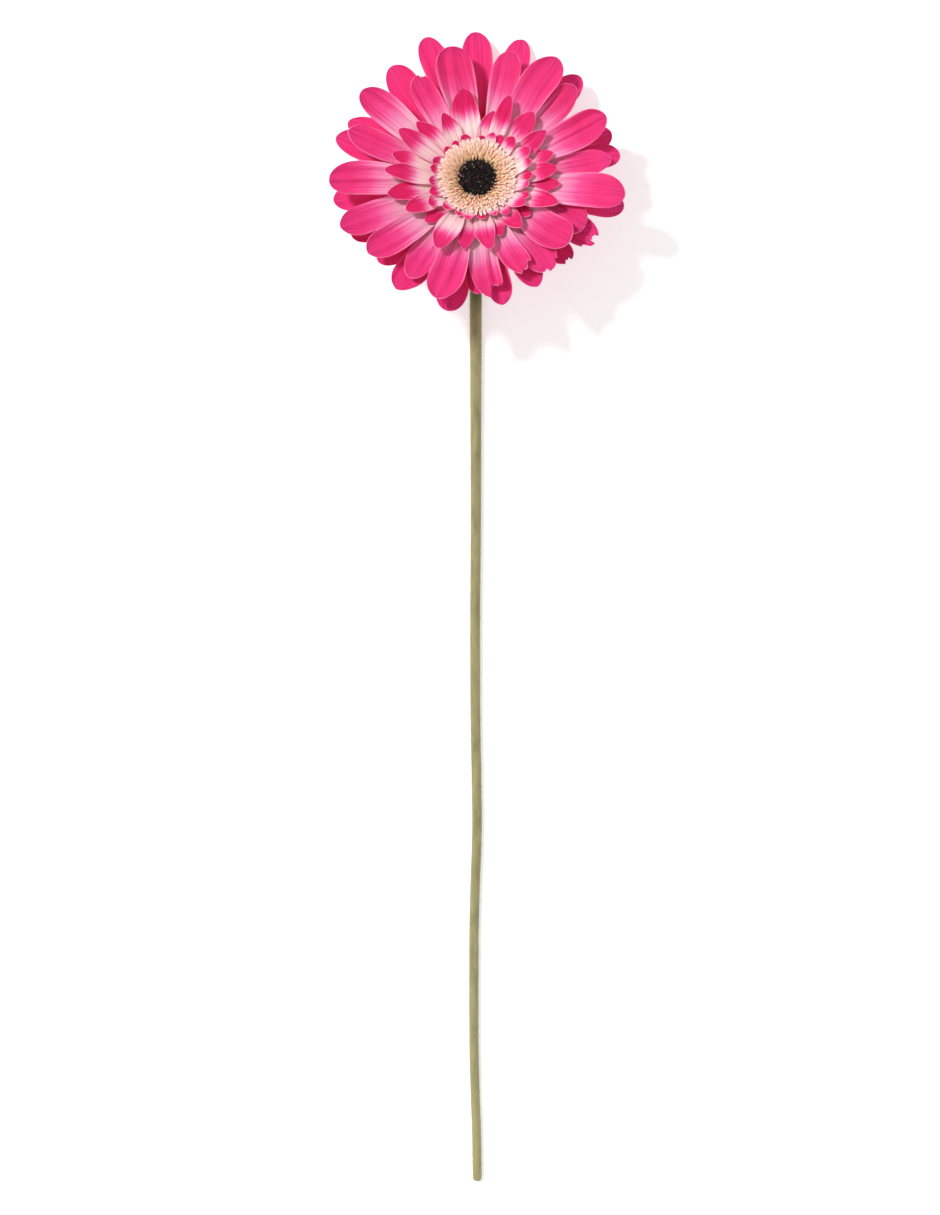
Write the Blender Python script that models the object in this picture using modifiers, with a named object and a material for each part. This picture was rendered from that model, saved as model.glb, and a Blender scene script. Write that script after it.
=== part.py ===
"""A cut gerbera lying on a surface: one large flower head, tipped up on a bent neck, on a bare stem.

The far side of the head leans down until its back petals touch the surface, and the stem lies flat.
All heights inside the head are measured along its own axis, from the underside of the back petals.
Clock angles run from the far side of the head, clockwise as seen from above.
"""

import math
import random
from collections import namedtuple

import bmesh
import bpy
from mathutils import Vector

MM = 0.001
HEAD_CENTRE = Vector((0.0, 194.5 * MM, 31 * MM))
HEAD_LEAN = math.radians(22)
PETAL_THICKNESS = 0.7 * MM
# A petal that would sink into the surface is raised by up to this angle, found by halving.
STEEPEST_RAISE = math.radians(30)
HALVINGS = 24
ROUND_STEPS = 28
# What stays open between neighbouring pieces, in millimetres as the profiles are.
PIECE_GAP = 0.3

# The stem: its length from the head's centre to the cut end, its radii, and the bend of its neck.
CUT_END_FROM_HEAD = 454 * MM
NECK_DROP = 15 * MM
NECK_STRAIGHT = 2 * MM
NECK_RADIUS = 3.2 * MM
STEM_TOP_RADIUS = 2.3 * MM
STEM_END_RADIUS = 1.95 * MM
NECK_TAPER_LENGTH = 45 * MM
RESTING_FLAT_DEPTH = 0.15 * MM
# Sideways sway of the lying stem: distance from the head's centre and offset, in millimetres.
STEM_SWAY = (
    (40, -0.4), (150, -0.4), (200, -0.7), (246, -0.5), (268, -0.1), (292, 0.1), (318, -0.7), (340, -1.2),
    (390, -1.2), (412, -0.7), (430, -0.1),
)
STEM_END_SWAY = 0.3

# A ring of petals. Each grows from a narrow ring round the receptacle. Curl is how far the slope
# falls from root to tip, cup is how high the edges stand, and point is 0 round to 1 pointed.
Whorl = namedtuple(
    "Whorl",
    "inner outer low high claw widest point cup curl pitch swing step rows columns seed",
)
BACK = Whorl(9.8, 12.6, 0.0, 1.5, 0.22, 0.7, 0.04, 0.14, 4, 0.3, 5.5, -2.6, 6, 3, 11)
FRONT = Whorl(9.8, 12.4, 1.9, 3.5, 0.22, 0.7, 0.06, 0.16, 3, 12.5, 1.5, 2.6, 6, 3, 12)
SHORT = Whorl(8.8, 11.4, 3.8, 5.2, 0.3, 0.6, 0.6, 0.16, -1, 22, 1.0, 3.0, 5, 2, 13)
INNER = Whorl(7.8, 10.2, 6.0, 7.2, 0.42, 0.62, 0.4, 0.15, -8, 29.5, 0.0, 2.8, 4, 2, 14)

# Where each petal points, how far its tip is from the head's axis, and its width: clock degrees, then
# millimetres.
BACK_PETALS = (
    (1, 71, 13.6), (17, 72, 12.8), (42, 68, 13.2), (67, 64, 13), (78, 64, 12.4), (99, 65, 14),
    (117, 59, 13), (132, 54, 12.5), (150, 55, 13), (169, 57, 12), (181, 52, 12.5), (193, 60, 14.5),
    (213, 61, 14.5), (229, 56, 12.5), (246, 60, 13.5), (264, 63, 14), (288, 65, 13.5), (299, 64, 12.5),
    (324, 66, 14.5), (344, 73, 13),
)
FRONT_PETALS = (
    (16, 60, 12.8), (32, 64, 15.4), (47, 60, 12.4), (66, 62, 14.6), (82, 59, 12.4), (98, 65, 16.2),
    (112, 52, 16.5), (127, 51, 16), (143, 53, 15.5), (158, 50, 12.2), (176, 55, 13.4), (195, 60, 15.4),
    (213, 55, 12.8), (231, 60, 14.2), (249, 64, 13.6), (269, 64, 15.8), (289, 60, 12.4), (306, 63, 14),
    (329, 54, 11.8), (350, 60, 16.6),
)
SHORT_PETALS = (
    (11, 31, 8.6), (23, 38, 7.8), (42, 38, 10.5), (59, 36, 8.6), (73, 35, 8.6), (86, 35, 8.6),
    (98, 36, 8.4), (112, 38, 9.5), (128, 29, 8), (143, 31, 8.5), (158, 29, 7.5), (173, 35, 9.2),
    (191, 34, 8.2), (208, 39, 10.6), (226, 30, 8.5), (242, 35, 8.6), (257, 40, 9.2), (271, 40, 8.6),
    (285, 38, 8.4), (299, 39, 9.4), (315, 36, 8.6), (332, 32, 8), (349, 40, 12.6),
)
INNER_PETALS = (
    (4, 19, 5.6), (18, 20.5, 5.2), (33, 21.5, 5.8), (46, 23.5, 6), (62, 26, 6.4), (77, 24.5, 6),
    (90, 24.5, 5.6), (102, 23.5, 5.8), (114, 24.5, 6), (127, 25.5, 6.4), (141, 22.5, 5.6),
    (157, 20, 5.4), (174, 19.8, 5.8), (192, 21, 5.6), (206, 19.5, 5.4), (221, 21, 5.8), (237, 25, 6.4),
    (250, 22, 5.8), (265, 21.2, 5.4), (280, 20.8, 5.6), (295, 20.7, 5.4), (310, 19.2, 5.2),
    (327, 19, 5.4), (346, 19.8, 5.6),
)

# The green involucre: two rows of narrow bracts on a cup that narrows to the neck. A row has its root
# radius, root height and reach.
BRACTS_A_ROW = 10
BRACT_WIDTH = 4.6
BRACT_ROWS = ((4.0, -13.2, 15.2), (4.4, -11.4, 17.4))
BRACT = Whorl(0, 0, 0, 0, 0.5, 0.4, 0.9, 0.2, 18, 38, 0, 0, 4, 2, 15)

# The cream fringe: rows of pointed filaments: count, root radius, tip radius, root height, tip height.
FRINGE_ROWS = ((27, 9.6, 18.6, 9.2, 14.8), (24, 9.8, 16.0, 9.6, 15.0), (20, 9.8, 12.4, 9.6, 14.6))
FRINGE_ROOT_RADIUS = 0.7
FRINGE_TIP_RADIUS = 0.22

# The dark disc: a low dome of stubs set in a spiral.
DISC_RADIUS = 7.9
DISC_LOW = 9.2
DISC_RIM = 9.8
DISC_TOP = 11.9
STUB_COUNT = 46
STUB_RADIUS = 0.7
STUB_TIP_RADIUS = 0.25
STUB_LENGTH = 1.3
STUB_SUNK = 0.5
STUB_SPREAD = 0.94
GOLDEN_ANGLE = math.radians(137.508)


def clear_scene():
    for obj in list(bpy.data.objects):
        bpy.data.objects.remove(obj, do_unlink=True)


def finish(name, colour, roughness):
    """A Principled material in one colour."""
    material = bpy.data.materials.new(name)
    material.use_nodes = True
    shader = material.node_tree.nodes["Principled BSDF"]
    shader.inputs["Base Color"].default_value = (*colour, 1.0)
    shader.inputs["Roughness"].default_value = roughness
    shader.inputs["Metallic"].default_value = 0.0
    return material


def add_object(name, mesh, collection):
    obj = bpy.data.objects.new(name, mesh)
    collection.objects.link(obj)
    return obj


def apply_modifiers(obj):
    """Gives the object the mesh that its modifiers make, and removes them."""
    bpy.context.view_layer.update()
    graph = bpy.context.evaluated_depsgraph_get()
    shaped = bpy.data.meshes.new_from_object(obj.evaluated_get(graph))
    obj.modifiers.clear()
    plain = obj.data
    obj.data = shaped
    bpy.data.meshes.remove(plain)


def turned(name, profile, collection):
    """A body of revolution. The profile runs down the outer side, in millimetres."""
    mesh = bpy.data.meshes.new(name)
    points = [(radius * MM, 0.0, height * MM) for radius, height in profile]
    edges = [(i, i + 1) for i in range(len(points) - 1)]
    if profile[0][0] > 0:
        edges.append((len(points) - 1, 0))
    mesh.from_pydata(points, edges, [])
    obj = add_object(name, mesh, collection)
    screw = obj.modifiers.new("turn", "SCREW")
    screw.steps = ROUND_STEPS
    screw.render_steps = ROUND_STEPS
    screw.use_merge_vertices = True
    screw.merge_threshold = 0.01 * MM
    apply_modifiers(obj)
    return obj


def fuse(body, pieces_collection):
    """Joins every object of the collection to the body as one solid, and removes them."""
    union = body.modifiers.new("fuse", "BOOLEAN")
    union.operation = "UNION"
    union.operand_type = "COLLECTION"
    union.collection = pieces_collection
    union.solver = "MANIFOLD"
    apply_modifiers(body)
    for piece in list(pieces_collection.objects):
        bpy.data.objects.remove(piece, do_unlink=True)
    bpy.data.collections.remove(pieces_collection)


def outline(whorl, share):
    """A petal's half width at a share of its length, as a share of its greatest half width."""
    if share < whorl.widest:
        rise = math.sin(0.5 * math.pi * share / whorl.widest) ** 1.35
        return whorl.claw + (1 - whorl.claw) * rise
    past = (share - whorl.widest) / (1 - whorl.widest)
    rounded = math.sqrt(max(0.0, 1 - past**2))
    pointed = 1 - past**1.6
    return max(0.12, whorl.point * pointed + (1 - whorl.point) * rounded)


def petal_point(whorl, root, clock, reach, width, pitch, roll, share, side):
    """A point of the petal's middle surface. Share runs from root to tip, side from -1 to 1."""
    first = pitch + math.radians(whorl.curl)
    last = pitch - math.radians(whorl.curl)
    length = (reach * MM - root[0]) * (last - first) / (math.sin(last) - math.sin(first))
    slope = first + (last - first) * share
    run = length * (math.sin(slope) - math.sin(first)) / (last - first)
    rise = length * (math.cos(first) - math.cos(slope)) / (last - first)
    outward = Vector((math.sin(clock), math.cos(clock), 0.0))
    across = Vector((math.cos(clock), -math.sin(clock), 0.0))
    upward = Vector((0.0, 0.0, 1.0))
    facing = math.cos(slope) * upward - math.sin(slope) * outward
    half = 0.5 * width * MM * outline(whorl, share) * side
    lift = half * math.sin(roll * share) + whorl.cup * abs(half * side)
    middle = outward * (root[0] + run) + upward * (root[1] + rise)
    return middle + across * half * math.cos(roll * share) + facing * lift


def petal(whorl, root, clock, reach, width, pitch, roll, collection):
    """One petal as a thin closed blade, split into triangles alike on both faces."""
    blade = bmesh.new()
    bmesh.ops.create_grid(blade, x_segments=whorl.columns, y_segments=whorl.rows, size=1.0)
    for vert in blade.verts:
        # Rows draw closer together towards the rounded tip.
        share = math.sin(0.25 * math.pi * (vert.co.y + 1))
        vert.co = petal_point(whorl, root, clock, reach, width, pitch, roll, share, vert.co.x)
    bmesh.ops.triangulate(blade, faces=blade.faces, quad_method="FIXED")
    mesh = bpy.data.meshes.new("petal")
    blade.to_mesh(mesh)
    blade.free()
    obj = add_object("petal", mesh, collection)
    solidify = obj.modifiers.new("thickness", "SOLIDIFY")
    solidify.thickness = PETAL_THICKNESS
    solidify.offset = 0.0
    apply_modifiers(obj)
    return obj


def surface_height(point):
    """How high a point of the head lies over the surface that the flower rests on."""
    return HEAD_CENTRE.z + point.z * math.cos(HEAD_LEAN) - point.y * math.sin(HEAD_LEAN)


def resting_pitch(whorl, root, clock, reach, width, pitch, roll):
    """The pitch, raised if need be until the petal's tip only rests on the surface."""
    def lowest(angle):
        tips = [
            petal_point(whorl, root, clock, reach, width, angle, roll, 1.0, side) for side in (-1, 0, 1)
        ]
        return min(surface_height(tip) for tip in tips) - 0.5 * PETAL_THICKNESS

    if lowest(pitch) >= 0:
        return pitch
    low, high = pitch, pitch + STEEPEST_RAISE
    for _ in range(HALVINGS):
        middle = 0.5 * (low + high)
        if lowest(middle) < 0:
            low = middle
        else:
            high = middle
    return high


def whorl_of_petals(name, whorl, places, collection):
    """A ring with every petal of the whorl grown from it, as one solid."""
    ring_profile = (
        (whorl.outer, whorl.high), (whorl.outer, whorl.low), (whorl.inner, whorl.low),
        (whorl.inner, whorl.high),
    )
    body = turned(name, ring_profile, collection)
    petals = bpy.data.collections.new("petals of " + name)
    bpy.context.scene.collection.children.link(petals)
    draw = random.Random(whorl.seed)
    root = (0.5 * (whorl.inner + whorl.outer) * MM, 0.5 * (whorl.low + whorl.high) * MM)
    for place, (degrees, reach, width) in enumerate(places):
        clock = math.radians(degrees)
        roll = math.radians(draw.uniform(-6, 6))
        layer = whorl.step if place % 2 else -whorl.step
        pitch = math.radians(whorl.pitch - whorl.swing * math.cos(clock) + layer + draw.uniform(-0.7, 0.7))
        pitch = resting_pitch(whorl, root, clock, reach, width, pitch, roll)
        petal(whorl, root, clock, reach, width, pitch, roll, petals)
    fuse(body, petals)
    return body


def involucre(collection):
    """The green cup under the head with its bracts, and the receptacle that the petals grow round."""
    profile = (
        (0, INNER.high), (INNER.inner - PIECE_GAP, INNER.high), (INNER.inner - PIECE_GAP, SHORT.high),
        (SHORT.inner - PIECE_GAP, SHORT.high), (SHORT.inner - PIECE_GAP, FRONT.high),
        (BACK.inner - PIECE_GAP, FRONT.high), (BACK.inner - PIECE_GAP, -PIECE_GAP), (12.2, -PIECE_GAP),
        (8.6, -4.0), (5.0, -9.5), (4.0, -14.7), (0, -14.7),
    )
    body = turned("involucre", profile, collection)
    bracts = bpy.data.collections.new("bracts")
    bpy.context.scene.collection.children.link(bracts)
    for row, (root_radius, root_height, reach) in enumerate(BRACT_ROWS):
        root = (root_radius * MM, root_height * MM)
        for place in range(BRACTS_A_ROW):
            clock = 2 * math.pi * (place + 0.5 * row) / BRACTS_A_ROW
            petal(BRACT, root, clock, reach, BRACT_WIDTH, math.radians(BRACT.pitch), 0.0, bracts)
    fuse(body, bracts)
    return body


def cone_between(start, end, start_radius, end_radius, sides, collection):
    """A tapered spike from one point to another."""
    spike = bmesh.new()
    length = (end - start).length
    bmesh.ops.create_cone(
        spike, cap_ends=True, segments=sides, radius1=start_radius, radius2=end_radius, depth=length
    )
    mesh = bpy.data.meshes.new("spike")
    spike.to_mesh(mesh)
    spike.free()
    obj = add_object("spike", mesh, collection)
    obj.rotation_mode = "QUATERNION"
    obj.rotation_quaternion = (end - start).to_track_quat("Z", "Y")
    obj.location = 0.5 * (start + end)
    return obj


def fringe(collection):
    """Rows of pale filaments round the disc, on a shallow dish."""
    profile = ((0, 8.9), (9.0, 8.9), (10.4, 10.6), (13.6, 12.0), (14.0, 11.4), (9.0, 7.5), (0, 7.5))
    body = turned("fringe", profile, collection)
    filaments = bpy.data.collections.new("filaments")
    bpy.context.scene.collection.children.link(filaments)
    draw = random.Random(16)
    for count, root_radius, tip_radius, root_height, tip_height in FRINGE_ROWS:
        for place in range(count):
            clock = 2 * math.pi * (place + draw.uniform(-0.15, 0.15)) / count
            outward = Vector((math.sin(clock), math.cos(clock), 0.0)) * MM
            upward = Vector((0.0, 0.0, MM))
            root = outward * root_radius + upward * root_height
            tip = outward * (tip_radius + draw.uniform(-0.8, 0.3)) + upward * tip_height
            cone_between(root, tip, FRINGE_ROOT_RADIUS * MM, FRINGE_TIP_RADIUS * MM, 3, filaments)
    fuse(body, filaments)
    return body


def disc(collection):
    """The dark dome in the middle, with stubs set in a spiral."""
    profile = [(0, DISC_TOP)]
    for degrees in (22, 44, 66, 90):
        angle = math.radians(degrees)
        height = DISC_RIM + (DISC_TOP - DISC_RIM) * math.cos(angle)
        profile.append((DISC_RADIUS * math.sin(angle), height))
    profile += [(DISC_RADIUS, DISC_LOW), (0, DISC_LOW)]
    body = turned("disc", profile, collection)
    stubs = bpy.data.collections.new("stubs")
    bpy.context.scene.collection.children.link(stubs)
    for number in range(STUB_COUNT):
        angle = math.asin(math.sqrt((number + 0.5) / STUB_COUNT)) * STUB_SPREAD
        clock = number * GOLDEN_ANGLE
        outward = Vector((math.sin(clock), math.cos(clock), 0.0))
        foot = outward * DISC_RADIUS * math.sin(angle) * MM
        foot.z = (DISC_RIM + (DISC_TOP - DISC_RIM) * math.cos(angle)) * MM
        lean = (outward * math.sin(0.6 * angle) + Vector((0.0, 0.0, math.cos(0.6 * angle)))).normalized()
        root = foot - lean * STUB_SUNK * MM
        tip = foot + lean * STUB_LENGTH * MM
        cone_between(root, tip, STUB_RADIUS * MM, STUB_TIP_RADIUS * MM, 4, stubs)
    fuse(body, stubs)
    return body


def stem_radius(distance):
    """The stem's radius at a distance along it from the neck's top."""
    neck = max(0.0, 1 - distance / NECK_TAPER_LENGTH)
    taper = min(1.0, distance / CUT_END_FROM_HEAD)
    plain = STEM_TOP_RADIUS + (STEM_END_RADIUS - STEM_TOP_RADIUS) * taper
    return plain + (NECK_RADIUS - STEM_TOP_RADIUS) * neck**2


def stem_route():
    """Points down the neck's bend and along the surface, each with its radius."""
    lean_axis = Vector((0.0, math.sin(HEAD_LEAN), math.cos(HEAD_LEAN)))
    neck_top = HEAD_CENTRE - lean_axis * NECK_DROP
    top = neck_top - lean_axis * NECK_STRAIGHT
    steepness = math.radians(90) - HEAD_LEAN
    lying_height = stem_radius(NECK_TAPER_LENGTH) - RESTING_FLAT_DEPTH
    bend_radius = (top.z - lying_height) / (1 - math.cos(steepness))
    route = [(neck_top, NECK_RADIUS)]
    bend_points = 9
    for number in range(bend_points):
        slope = steepness * (1 - number / (bend_points - 1))
        run = bend_radius * (math.sin(steepness) - math.sin(slope))
        drop = bend_radius * (math.cos(slope) - math.cos(steepness))
        distance = bend_radius * (steepness - slope)
        route.append((Vector((top.x, top.y - run, top.z - drop)), stem_radius(distance)))
    bend_length = bend_radius * steepness
    bend_foot = route[-1][0]
    for distance_mm, sway_mm in STEM_SWAY:
        y = HEAD_CENTRE.y - distance_mm * MM
        radius = stem_radius(bend_length + bend_foot.y - y)
        route.append((Vector((HEAD_CENTRE.x + sway_mm * MM, y, radius - RESTING_FLAT_DEPTH)), radius))
    # The cut end is softly rounded.
    end_y = HEAD_CENTRE.y - CUT_END_FROM_HEAD
    end_height = STEM_END_RADIUS - RESTING_FLAT_DEPTH
    for back_mm, share in ((1.6, 1.0), (0.7, 0.88), (0.15, 0.6), (0.0, 0.3)):
        point = Vector((HEAD_CENTRE.x + STEM_END_SWAY * MM, end_y + back_mm * MM, end_height))
        route.append((point, STEM_END_RADIUS * share))
    return route


def stem(collection, cutters):
    """The bare stem with its bent neck, flattened a little where it lies."""
    curve = bpy.data.curves.new("stem", "CURVE")
    curve.dimensions = "3D"
    curve.bevel_depth = 1.0
    curve.bevel_resolution = 4
    curve.use_fill_caps = True
    route = stem_route()
    spline = curve.splines.new("POLY")
    spline.points.add(len(route) - 1)
    for point, (place, radius) in zip(spline.points, route):
        point.co = (*place, 1.0)
        point.radius = radius
    tube = add_object("stem tube", curve, collection)
    bpy.context.view_layer.update()
    graph = bpy.context.evaluated_depsgraph_get()
    mesh = bpy.data.meshes.new_from_object(tube.evaluated_get(graph))
    bpy.data.objects.remove(tube, do_unlink=True)
    welded = bmesh.new()
    welded.from_mesh(mesh)
    bmesh.ops.remove_doubles(welded, verts=welded.verts, dist=0.01 * MM)
    bmesh.ops.recalc_face_normals(welded, faces=welded.faces)
    welded.to_mesh(mesh)
    welded.free()
    body = add_object("stem", mesh, collection)
    bpy.ops.mesh.primitive_cube_add(size=1.0, location=(0.0, 0.0, -0.01))
    ground = bpy.context.object
    ground.name = "resting plane cutter"
    ground.scale = (0.1, 0.7, 0.02)
    ground.hide_render = True
    ground.display_type = "WIRE"
    for owner in list(ground.users_collection):
        owner.objects.unlink(ground)
    cutters.objects.link(ground)
    cut = body.modifiers.new("resting flat", "BOOLEAN")
    cut.operation = "DIFFERENCE"
    cut.object = ground
    return body


def build():
    clear_scene()
    gerbera = bpy.data.collections.new("gerbera")
    cutters = bpy.data.collections.new("cutters")
    for collection in (gerbera, cutters):
        bpy.context.scene.collection.children.link(collection)
    head = bpy.data.objects.new("head", None)
    gerbera.objects.link(head)
    head.location = HEAD_CENTRE
    head.rotation_euler = (-HEAD_LEAN, 0.0, 0.0)
    head_parts = {
        "back_petals": whorl_of_petals("back_petals", BACK, BACK_PETALS, gerbera),
        "front_petals": whorl_of_petals("front_petals", FRONT, FRONT_PETALS, gerbera),
        "short_petals": whorl_of_petals("short_petals", SHORT, SHORT_PETALS, gerbera),
        "inner_petals": whorl_of_petals("inner_petals", INNER, INNER_PETALS, gerbera),
        "involucre": involucre(gerbera),
        "fringe": fringe(gerbera),
        "disc": disc(gerbera),
    }
    finishes = {
        "back_petals": finish("petal back", (0.70, 0.03, 0.17), 0.6),
        "front_petals": finish("petal front", (0.86, 0.05, 0.25), 0.6),
        "short_petals": finish("petal short", (0.80, 0.12, 0.28), 0.6),
        "inner_petals": finish("petal inner", (0.85, 0.35, 0.45), 0.6),
        "involucre": finish("bract green", (0.16, 0.22, 0.06), 0.7),
        "fringe": finish("cream", (0.85, 0.62, 0.36), 0.7),
        "disc": finish("dark brown", (0.02, 0.012, 0.012), 0.8),
    }
    for name, part in head_parts.items():
        part.parent = head
        part.data.materials.clear()
        part.data.materials.append(finishes[name])
    stem_body = stem(gerbera, cutters)
    stem_body.data.materials.clear()
    stem_body.data.materials.append(finish("stem green", (0.33, 0.30, 0.15), 0.8))
    stem_body.data.shade_smooth()


build()
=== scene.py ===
"""A cut gerbera lying on a pale floor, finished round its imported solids.

Four rows of petals, a cream fringe, a dark disc, the green involucre and the stem each stand for one solid.
"""

import math
import random
from collections import namedtuple

import bpy
import numpy as np
from mathutils import Matrix, Vector


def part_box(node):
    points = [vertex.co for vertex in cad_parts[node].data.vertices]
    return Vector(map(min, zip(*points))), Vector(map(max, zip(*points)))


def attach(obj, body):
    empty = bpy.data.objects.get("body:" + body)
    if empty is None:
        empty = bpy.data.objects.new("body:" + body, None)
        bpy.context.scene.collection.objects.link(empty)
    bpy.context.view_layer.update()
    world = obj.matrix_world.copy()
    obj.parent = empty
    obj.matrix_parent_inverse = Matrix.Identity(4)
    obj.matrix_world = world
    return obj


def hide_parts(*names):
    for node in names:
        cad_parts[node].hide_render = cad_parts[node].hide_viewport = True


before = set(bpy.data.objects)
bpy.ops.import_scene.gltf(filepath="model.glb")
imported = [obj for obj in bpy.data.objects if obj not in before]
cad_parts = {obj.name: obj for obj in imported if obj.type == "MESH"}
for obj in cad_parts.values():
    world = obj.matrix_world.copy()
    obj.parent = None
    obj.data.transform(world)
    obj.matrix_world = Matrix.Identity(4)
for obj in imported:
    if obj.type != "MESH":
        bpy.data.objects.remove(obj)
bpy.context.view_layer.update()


# Stem. A bare, leafless stalk, fleshy and finely hairy all over, with a neck that bends up under the head.
# It is green just below the head, painted darker there as shade under the head, pale olive along its length,
# and rounded at its cut end.

MM = 0.001
HEAD_LEAN = math.radians(22)
DISC_MIDDLE_HEIGHT = 10.53 * MM
CUT_END_FROM_HEAD = 454 * MM
NECK_DROP = 15 * MM
NECK_STRAIGHT = 2 * MM
NECK_RADIUS = 3.2 * MM
STEM_TOP_RADIUS = 2.4 * MM
STEM_END_RADIUS = 2.0 * MM
NECK_TAPER_LENGTH = 45 * MM
RESTING_FLAT_DEPTH = 0.15 * MM
SWELLING = 0.35 * MM
SWELLING_START = 50 * MM
SWELLING_END = 72 * MM
# Sideways sway of the lying stem: distance from the head's centre and offset, in millimetres.
STEM_SWAY = (
    (40, -0.4), (150, -0.4), (200, -0.7), (246, -0.5), (268, -0.1), (292, 0.1), (318, -0.7), (340, -1.2),
    (390, -1.2), (412, -0.7), (430, -0.1),
)
STEM_END_SWAY = 0.3
# The rounding of the cut end: how far back from it in millimetres, and the share of its radius there.
END_ROUNDING = ((1.6, 1.0), (1.05, 0.97), (0.6, 0.86), (0.25, 0.68), (0.08, 0.45), (0.0, 0.2))
CURVE_STEP = 2.2 * MM
# No hair grows on the last points of the cut end, or below this height, where the stem rests.
BALD_END_POINTS = 6
BALD_HEIGHT = 0.7 * MM
# The hairs' lengths and radius in millimetres, and how deep they are sunk, as a share of their length.
STEM_HAIRS = 11000
STEM_HAIR_LENGTHS = (0.35, 0.85)
HAIR_RADIUS = 0.045
HAIR_SUNK = 0.1

# The skin's mottled olive, its paler clouds, its lower end and its neck's green, darkened as painted shade
# under the head, and the colour of the hairs. The neck's green and painted shade start and are full at these
# distances from the head's centre.
SKIN_STOPS = ((0.32, (0.20, 0.185, 0.075)), (0.68, (0.33, 0.30, 0.14)))
SKIN_CLOUD = (0.38, 0.33, 0.155, 1.0)
SKIN_LOWER_END = (0.42, 0.37, 0.175, 1.0)
NECK_GREEN_AND_SHADE = (0.085, 0.115, 0.03, 1.0)
NECK_GREEN_AND_SHADE_START = 64 * MM
NECK_GREEN_AND_SHADE_FULL = 46 * MM
HAIR_COLOUR = (0.75, 0.72, 0.50, 1.0)

disc_low, disc_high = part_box("disc")
lean_axis = Vector((0.0, math.sin(HEAD_LEAN), math.cos(HEAD_LEAN)))
head_centre = 0.5 * (disc_low + disc_high) - lean_axis * DISC_MIDDLE_HEIGHT
head_place = Matrix.Translation(head_centre) @ Matrix.Rotation(-HEAD_LEAN, 4, "X")
upward = Vector((0.0, 0.0, 1.0))


def smooth_step(low, high, value):
    """Eases from 0 at the low value to 1 at the high one."""
    share = min(1.0, max(0.0, (value - low) / (high - low)))
    return share * share * (3 - 2 * share)


def stem_radius(distance):
    """The stem's radius at a distance along it from the neck's top."""
    neck = max(0.0, 1 - distance / NECK_TAPER_LENGTH)
    taper = min(1.0, distance / CUT_END_FROM_HEAD)
    plain = STEM_TOP_RADIUS + (STEM_END_RADIUS - STEM_TOP_RADIUS) * taper
    swelling = SWELLING * (1 - smooth_step(SWELLING_START, SWELLING_END, distance)) * (1 - neck)
    return plain + swelling + (NECK_RADIUS - STEM_TOP_RADIUS) * neck**2


def stem_route():
    """Points down the neck's bend and along the surface, each with its radius."""
    neck_top = head_centre - lean_axis * NECK_DROP
    top = neck_top - lean_axis * NECK_STRAIGHT
    steepness = math.radians(90) - HEAD_LEAN
    lying_height = stem_radius(NECK_TAPER_LENGTH) - RESTING_FLAT_DEPTH
    bend_radius = (top.z - lying_height) / (1 - math.cos(steepness))
    route = [(neck_top, NECK_RADIUS)]
    bend_points = 9
    for number in range(bend_points):
        slope = steepness * (1 - number / (bend_points - 1))
        run = bend_radius * (math.sin(steepness) - math.sin(slope))
        drop = bend_radius * (math.cos(slope) - math.cos(steepness))
        distance = bend_radius * (steepness - slope)
        route.append((Vector((top.x, top.y - run, top.z - drop)), stem_radius(distance)))
    bend_length = bend_radius * steepness
    bend_foot = route[-1][0]
    for distance_mm, sway_mm in STEM_SWAY:
        y = head_centre.y - distance_mm * MM
        radius = stem_radius(bend_length + bend_foot.y - y)
        route.append((Vector((head_centre.x + sway_mm * MM, y, radius - RESTING_FLAT_DEPTH)), radius))
    end_y = head_centre.y - CUT_END_FROM_HEAD
    end_height = STEM_END_RADIUS - RESTING_FLAT_DEPTH
    for back_mm, share in END_ROUNDING:
        point = Vector((head_centre.x + STEM_END_SWAY * MM, end_y + back_mm * MM, end_height))
        route.append((point, STEM_END_RADIUS * share))
    return route


def eased(route, step):
    """The route again as a smooth curve through its points, a point at least every step."""
    points = [Vector((*place, radius)) for place, radius in route]
    curve = []
    for number in range(len(points) - 1):
        start, end = points[number], points[number + 1]
        length = (end - start).length
        before = points[max(0, number - 1)]
        after = points[min(len(points) - 1, number + 2)]
        start_pull = (end - before) * (length / max(length, (end - before).length))
        end_pull = (after - start) * (length / max(length, (after - start).length))
        count = max(1, round(length / step))
        for part in range(count):
            share = part / count
            cubed, squared = share**3, share**2
            curve.append(
                (2 * cubed - 3 * squared + 1) * start + (cubed - 2 * squared + share) * start_pull
                + (3 * squared - 2 * cubed) * end + (cubed - squared) * end_pull
            )
    curve.append(points[-1])
    return curve


def tube(name, curve, roundness):
    """A round tube along points that each hold a place and a radius, with both ends closed."""
    bpy.ops.object.select_all(action="DESELECT")
    bpy.ops.curve.primitive_nurbs_path_add()
    line = bpy.context.object
    line.data.splines.clear()
    spline = line.data.splines.new("POLY")
    spline.points.add(len(curve) - 1)
    for point, (x, y, z, radius) in zip(spline.points, curve):
        point.co = (x, y, z, 1.0)
        point.radius = radius
    line.data.bevel_depth = 1.0
    line.data.bevel_resolution = roundness
    line.data.use_fill_caps = True
    bpy.ops.object.convert(target="MESH")
    drawn = bpy.context.object
    drawn.name = name
    bpy.ops.object.mode_set(mode="EDIT")
    bpy.ops.mesh.select_all(action="SELECT")
    bpy.ops.mesh.remove_doubles(threshold=0.001 * MM)
    bpy.ops.mesh.normals_make_consistent(inside=False)
    bpy.ops.object.mode_set(mode="OBJECT")
    return drawn


def give_attribute(mesh, name, values):
    """A number kept on every point of a mesh, for its finish to read."""
    kept = mesh.attributes.new(name, "FLOAT", "POINT")
    kept.data.foreach_set("value", values)


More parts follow.
